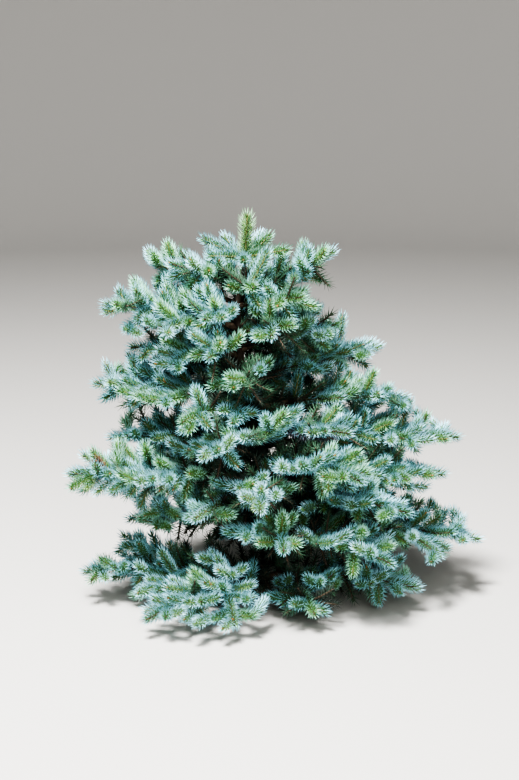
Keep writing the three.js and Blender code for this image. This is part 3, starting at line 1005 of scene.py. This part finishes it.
def tube(line, radii, sides, normal):
    ahead, side, over = frames(line, normal)
    turns = np.linspace(0, 2 * math.pi, sides, endpoint=False)
    ring = side[:, None, :] * np.cos(turns)[None, :, None] + over[:, None, :] * np.sin(turns)[None, :, None]
    verts = (line[:, None, :] + ring * np.asarray(radii)[:, None, None]).reshape(-1, 3)
    n = len(line)
    verts = np.concatenate([verts, line[-1:] + ahead[-1:] * radii[-1] * tubeTip])
    last = (n - 1) * sides
    tris = np.array([[last + a, last + (a + 1) % sides, n * sides] for a in range(sides)])
    return verts, ringQuads(n, sides), tris


youngStem = plainMaterial("youngStem", (0.20, 0.20, 0.075), 0.6)
olderStem = plainMaterial("olderStem", (0.075, 0.048, 0.03), 0.75)

stemBundle = Bundle()
for twig in twigs:
    if twig["order"] == 0 and twig["owner"] != 1:
        continue
    line = trace(twig)
    shares = np.linspace(0, 1, len(line))
    stem = tube(line, stemRadius(twig, shares), 3 if twig["order"] > 1 else 5, twig["normal"])
    stemBundle.add(*stem, 1 if twig["isOld"] or twig["colour"] in plainColours else 0)
twigPiece, faces = stemBundle.make("twigs", [youngStem, olderStem])
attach(twigPiece, "root")
print("twigs:", faces, "triangles")

# Buds: a pointed bud of overlapping scales at the end of every third young shoot, and a larger one at the
# fork of some
bud = {
    "every": 3,  # shoots to a bud at a tip, and to a bud at a fork
    "everyFork": 9,
    "forkSize": 1.9,
    "forkRise": 6,
    "size": (0.8, 0.4),  # smallest, and how much more the largest has
    "radius": 0.9,
    "length": 3.2,
    "sides": 6,
    "colour": (0.36, 0.17, 0.06),
    "newColour": (0.45, 0.42, 0.12),
}
budProfile = ((0.0, 0.55), (0.18, 0.95), (0.42, 1.0), (0.7, 0.68), (0.9, 0.3))  # share of length, of radius
budMaterials = [plainMaterial("budScales", bud["colour"], 0.5),
                plainMaterial("newBudScales", bud["newColour"], 0.5)]
budBundle = Bundle()
for twig in twigs:
    if twig["isOld"] or twig["colour"] in plainColours or twig["number"] % bud["every"]:
        continue
    line = trace(twig)
    ahead = unit(line[-1] - line[-2])
    size = bud["size"][0] + bud["size"][1] * dice(twig["number"] * 17 + 3)()
    places = [(line[-1], ahead, size)]
    if twig["number"] % bud["everyFork"] == 0:
        places.append((line[0], unit(line[1] - line[0] + up * bud["forkRise"]), size * bud["forkSize"]))
    for place, ahead, size in places:
        budLine = np.array([place + ahead * bud["length"] * size * share for share, _ in budProfile])
        radii = [bud["radius"] * size * width for _, width in budProfile]
        budShape = tube(budLine, radii, bud["sides"], twig["normal"])
        budBundle.add(*budShape, 1 if twig["colour"] == "fresh" else 0)
budPiece, faces = budBundle.make("buds", budMaterials)
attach(budPiece, "root")
print("buds:", faces, "triangles")

# Bark of the trunk and the limbs, with its relief in the mesh
bark = {
    "trunkStep": 2.0,
    "trunkSides": 52,
    "topRise": 1.5,
    "plateSize": 5.5,
    "plateHeight": 0.75,
    "plateLevel": 0.6,  # share of a plate's height that lies below the plain surface
    "thinPlates": 0.5,  # size of the plates where the trunk is thinnest
    "fullRadius": 8,  # thinnest trunk with relief of the full height
    "crackWidth": 0.16,
    "drawnOut": 1.9,
    "grain": 0.28,
    "grainScale": 3.1,
    "grainNoise": (0.9, 2.2, 3),  # its smoothness, the step from layer to layer, and their number
    "limbStep": 2.6,
    "limbSides": 12,
    "limbRootShare": 0.92,  # of the plain limb's radius
    "limbTip": 1.05,
    "limbTaper": 1.15,
    "limbOnTrunk": 0.9,  # widest that a limb may be, as a share of the trunk's radius
    "limbGrain": 0.5,
    "limbFullRadius": 3,
    "pegSize": 2.2,
    "pegHeight": 0.3,
    "collar": 0.55,  # how much thicker a limb is where it leaves the trunk
    "collarLength": 7,
    "colours": ((0.012, 0.009, 0.007), (0.034, 0.024, 0.018), (0.075, 0.056, 0.043)),
    # the limbs' bark, darker than its own colour: painted shade on the limbs among the needles
    "shadedLimbColours": ((0.022, 0.014, 0.010), (0.06, 0.040, 0.026), (0.12, 0.085, 0.055)),
    "colourStops": (0.38, 0.64, 0.95),  # where the dark, the middle and the light colour stand
    "textureScale": 150,
    "limbTextureScale": 260,
    "stretch": (1, 1, 0.45),
    "fleckScale": 1.7,
    "fleckDetail": 6,
    "fleckRoughness": 0.65,
    "plateShare": 0.45,
    "roughness": 0.9,
    "specular": 0.25,
    "bump": 0.6,
    "bumpHeight": 0.0006,
}


def barkMaterial(name, colours, scale):
    material = bpy.data.materials.new(name)
    material.use_nodes = True
    nodes, links = material.node_tree.nodes, material.node_tree.links
    surface = nodes["Principled BSDF"]
    setInputs(surface, {"Roughness": bark["roughness"], "Specular IOR Level": bark["specular"]})
    place = nodes.new("ShaderNodeTexCoord")
    stretch = nodes.new("ShaderNodeMapping")
    setInputs(stretch, {"Scale": bark["stretch"]})
    links.new(place.outputs["Object"], stretch.inputs["Vector"])
    plates = nodes.new("ShaderNodeTexVoronoi")
    setInputs(plates, {"Scale": scale})
    flecks = nodes.new("ShaderNodeTexNoise")
    setInputs(flecks, {"Scale": scale * bark["fleckScale"], "Detail": bark["fleckDetail"],
                       "Roughness": bark["fleckRoughness"]})
    for texture in (plates, flecks):
        links.new(stretch.outputs["Vector"], texture.inputs["Vector"])
    mixed = nodes.new("ShaderNodeMath")
    mixed.operation = "MULTIPLY_ADD"
    mixed.inputs[1].default_value = bark["plateShare"]
    links.new(plates.outputs["Distance"], mixed.inputs[0])
    links.new(flecks.outputs["Fac"], mixed.inputs[2])
    ramp = nodes.new("ShaderNodeValToRGB")
    stops = ramp.color_ramp.elements
    stops[0].position, stops[1].position = bark["colourStops"][0], bark["colourStops"][2]
    stops[0].color, stops[1].color = (*colours[0], 1), (*colours[2], 1)
    stops.new(bark["colourStops"][1]).color = (*colours[1], 1)
    links.new(mixed.outputs[0], ramp.inputs["Fac"])
    links.new(ramp.outputs["Color"], surface.inputs["Base Color"])
    bump = nodes.new("ShaderNodeBump")
    setInputs(bump, {"Strength": bark["bump"], "Distance": bark["bumpHeight"]})
    links.new(flecks.outputs["Fac"], bump.inputs["Height"])
    links.new(bump.outputs["Normal"], surface.inputs["Normal"])
    return material


def reliefAt(point, size, height, grain):
    # raised scales with cracks between them, drawn out along the height
    place = Vector((point[0] / size, point[1] / size, point[2] / (size * bark["drawnOut"])))
    distances = noise.voronoi(place)[0]
    edge = min(1, (distances[1] - distances[0]) / bark["crackWidth"] / 2)
    fine = noise.fractal(place * bark["grainScale"], *bark["grainNoise"])
    return height * (edge - bark["plateLevel"]) + grain * fine


trunkMaterial = barkMaterial("trunkBark", bark["colours"], bark["textureScale"])
limbMaterial = barkMaterial("limbBark", bark["shadedLimbColours"], bark["limbTextureScale"])

topHeight = trunk["top"][2]
rows = int(topHeight / bark["trunkStep"])
trunkVerts = []
for row in range(rows + 1):
    height = topHeight * row / rows
    share = trunkShare(height) if row < rows else 1.0
    centre = trunkAt(share)
    for corner in range(bark["trunkSides"]):
        angle = 2 * math.pi * corner / bark["trunkSides"]
        radius = trunkRadius(share, angle)
        out = np.array([math.cos(angle), math.sin(angle), 0])
        place = centre + out * radius
        amount = min(1, radius / bark["fullRadius"])
        size = bark["plateSize"] * (bark["thinPlates"] + (1 - bark["thinPlates"]) * amount)
        radius += reliefAt(place, size, bark["plateHeight"] * amount, bark["grain"] * amount)
        trunkVerts.append(centre + out * radius)
trunkVerts = np.array(trunkVerts)
sides = bark["trunkSides"]
trunkVerts[:, 2] = np.where(np.arange(len(trunkVerts)) < sides, 0, trunkVerts[:, 2])
ends = np.array([trunkAt(0), trunkAt(1) + up * bark["topRise"]])
capTris = [[(a + 1) % sides, a, len(trunkVerts)] for a in range(sides)]
capTris += [[rows * sides + a, rows * sides + (a + 1) % sides, len(trunkVerts) + 1] for a in range(sides)]
trunkBundle = Bundle()
trunkBundle.add(np.concatenate([trunkVerts, ends]), ringQuads(rows + 1, sides), np.array(capTris))
trunkPiece, faces = trunkBundle.make("trunk_bark", [trunkMaterial])
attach(trunkPiece, "root")
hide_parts("trunk")
print("trunk bark:", faces, "triangles")

limbBundle = Bundle()
for number, (name, limb) in enumerate(limbs.items()):
    controls = limbLines[name]
    length = lengthOf(controls)
    line = stations(controls, 0, 1 - shoot["tip"] / length, bark["limbStep"])
    shares = np.linspace(0, 1, len(line))
    rootRadius = limbRadius(limb, 0) * bark["limbRootShare"]
    radii = bark["limbTip"] + (rootRadius - bark["limbTip"]) * (1 - shares) ** bark["limbTaper"]
    radii *= 1 + bark["collar"] * np.exp(-shares * length / bark["collarLength"])
    radii = np.minimum(radii, trunkRadius(trunkShare(limb[0]), 0) * bark["limbOnTrunk"])
    points, limbQuads, limbTris = tube(line, radii, bark["limbSides"], stems[number]["normal"])
    ring = points[:-1].reshape(len(line), bark["limbSides"], 3)
    for row in range(len(line)):
        amount = min(1, radii[row] / bark["limbFullRadius"])
        for corner in range(bark["limbSides"]):
            place = ring[row, corner]
            out = unit(place - line[row])
            bump = reliefAt(place, bark["pegSize"], bark["pegHeight"] * amount,
                            bark["grain"] * bark["limbGrain"] * amount)
            ring[row, corner] = place + out * bump
    points[:-1] = ring.reshape(-1, 3)
    limbBundle.add(points, limbQuads, limbTris)
limbPiece, faces = limbBundle.make("limb_bark", [limbMaterial])
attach(limbPiece, "root")
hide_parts(*[n for n in frame["nodes"] if n.startswith("bough_")])
print("limb bark:", faces, "triangles")

# Floor with a rim that curves up all round, light and camera
studio = {
    "floorRadius": 3.2,
    "rimRadius": 1.4,
    "wallTop": 3.4,
    "floorColour": (0.5, 0.485, 0.46),
    "sky": 0.12,
    "key": 202,
    "keyPlace": (-0.5, -0.85, 2.2),
    "keySize": 0.5,
    "fill": 24,
    "fillPlace": (0.4, -2.0, 1.3),
    "fillSize": 1.2,
    "aim": (0, 0, 0.2),
    "skyColour": (0.93, 0.97, 1.0),
    "floorSides": 96,
    "rimSteps": 12,
    "look": "AgX - High Contrast",
}
floorMaterial = plainMaterial("paleFloor", studio["floorColour"], 0.9, 0.2)
profile = [(0.02, 0), (1, 0), (2, 0), (studio["floorRadius"], 0)]
for step in range(1, studio["rimSteps"] + 1):
    angle = math.pi / 2 * step / studio["rimSteps"]
    profile.append((studio["floorRadius"] + studio["rimRadius"] * math.sin(angle),
                    studio["rimRadius"] * (1 - math.cos(angle))))
profile.append((studio["floorRadius"] + studio["rimRadius"], studio["wallTop"]))
n = studio["floorSides"]
turns = np.linspace(0, 2 * math.pi, n, endpoint=False)
floorVerts = [(0, 0, 0)] + [(r * math.cos(a), r * math.sin(a), z) for r, z in profile for a in turns]
floorFaces = [(0, 1 + a, 1 + (a + 1) % n) for a in range(n)]
for row in range(len(profile) - 1):
    low = 1 + row * n
    floorFaces += [(low + a, low + n + a, low + n + (a + 1) % n, low + (a + 1) % n) for a in range(n)]
floorMesh = bpy.data.meshes.new("floor")
floorMesh.from_pydata(floorVerts, [], floorFaces)
floorMesh.polygons.foreach_set("use_smooth", [True] * len(floorFaces))
floorMesh.materials.append(floorMaterial)
floor = addObject("floor", floorMesh)

world = bpy.data.worlds.new("studioSky")
bpy.context.scene.world = world
world.use_nodes = True
setInputs(world.node_tree.nodes["Background"],
          {"Color": (*studio["skyColour"], 1), "Strength": studio["sky"]})
bpy.context.scene.view_settings.look = studio["look"]


def addLight(name, place, size, power):
    light = bpy.data.lights.new(name, "AREA")
    light.energy, light.size = power, size
    lamp = addObject(name, light)
    lamp.location = place
    lamp.rotation_euler = (Vector(studio["aim"]) - Vector(place)).to_track_quat("-Z", "Y").to_euler()


addLight("keyLight", studio["keyPlace"], studio["keySize"], studio["key"])
addLight("fillLight", studio["fillPlace"], studio["fillSize"], studio["fill"])

# focalRows: the lens' length in rows of a picture that has 780
view = {"place": (-0.0356, -1.6, 0.62), "tilt": 77, "sensor": 36, "focalRows": 1454, "rows": 780}
cameraData = bpy.data.cameras.new("camera")
cameraData.sensor_fit = "VERTICAL"
cameraData.sensor_height = view["sensor"]
cameraData.lens = view["sensor"] * view["focalRows"] / view["rows"]
camera = addObject("camera", cameraData)
camera.location = view["place"]
camera.rotation_euler = (math.radians(view["tilt"]), 0, 0)
bpy.context.scene.camera = camera

print("scene made")
